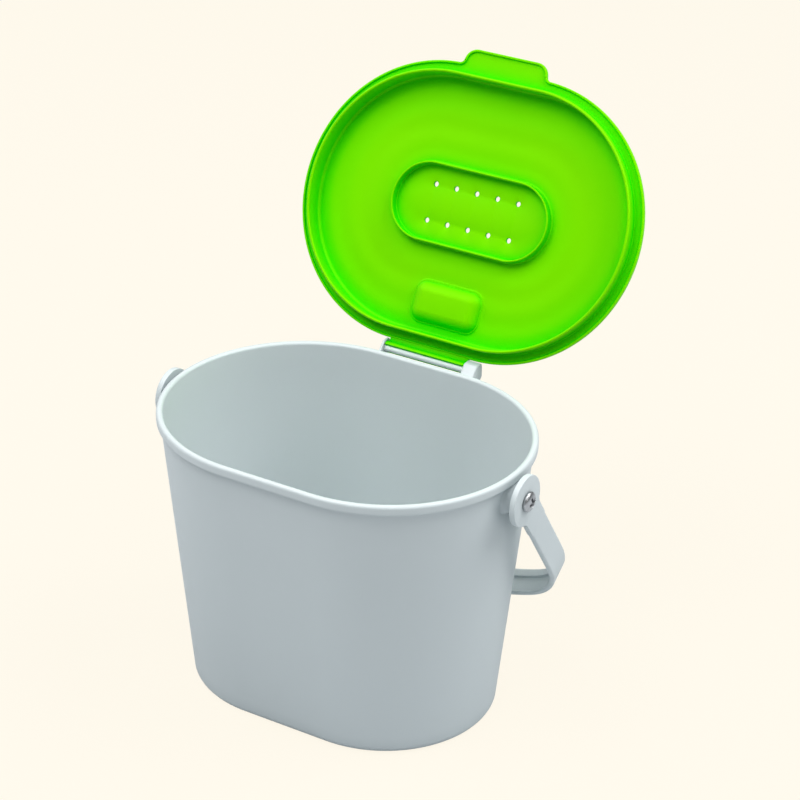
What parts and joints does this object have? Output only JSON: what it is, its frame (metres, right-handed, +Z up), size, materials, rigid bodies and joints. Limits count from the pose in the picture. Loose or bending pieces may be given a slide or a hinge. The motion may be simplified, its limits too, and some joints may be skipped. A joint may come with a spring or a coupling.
{
  "type": "compost caddy",
  "caption": "Oblong kitchen compost bucket with a hinged vented lid and a pivoting bail handle.",
  "frame": {"origin": "middle of the flat underside, on the surface it stands on", "axes": "+Z up, +Y towards the hinge at the back, +X along the rim's long side"},
  "size_m": [0.2472, 0.2671, 0.3363],
  "materials": {
    "bucket_plastic": "satin light grey",
    "lid_plastic": "satin lime green",
    "screw_steel": "polished"
  },
  "bodies": {
    "bucket_body": {"bucket": "bucket_plastic", "hinge_pin": "bucket_plastic", "pivot_screws": "screw_steel"},
    "lid_body": {"lid": "lid_plastic"},
    "bail_body": {"bail_handle": "bucket_plastic"}
  },
  "joints": [
    {"name": "lid_hinge", "type": "hinge", "parent": "bucket_body", "child": "lid_body", "pos_m": [0, 0.0912, 0.173], "axis": [1, 0, 0], "range_deg": [0, 118]},
    {"name": "bail_pivot", "type": "hinge", "parent": "bucket_body", "child": "bail_body", "pos_m": [0, -0.004, 0.159], "axis": [1, 0, 0], "range_deg": [0, 65]}
  ]
}
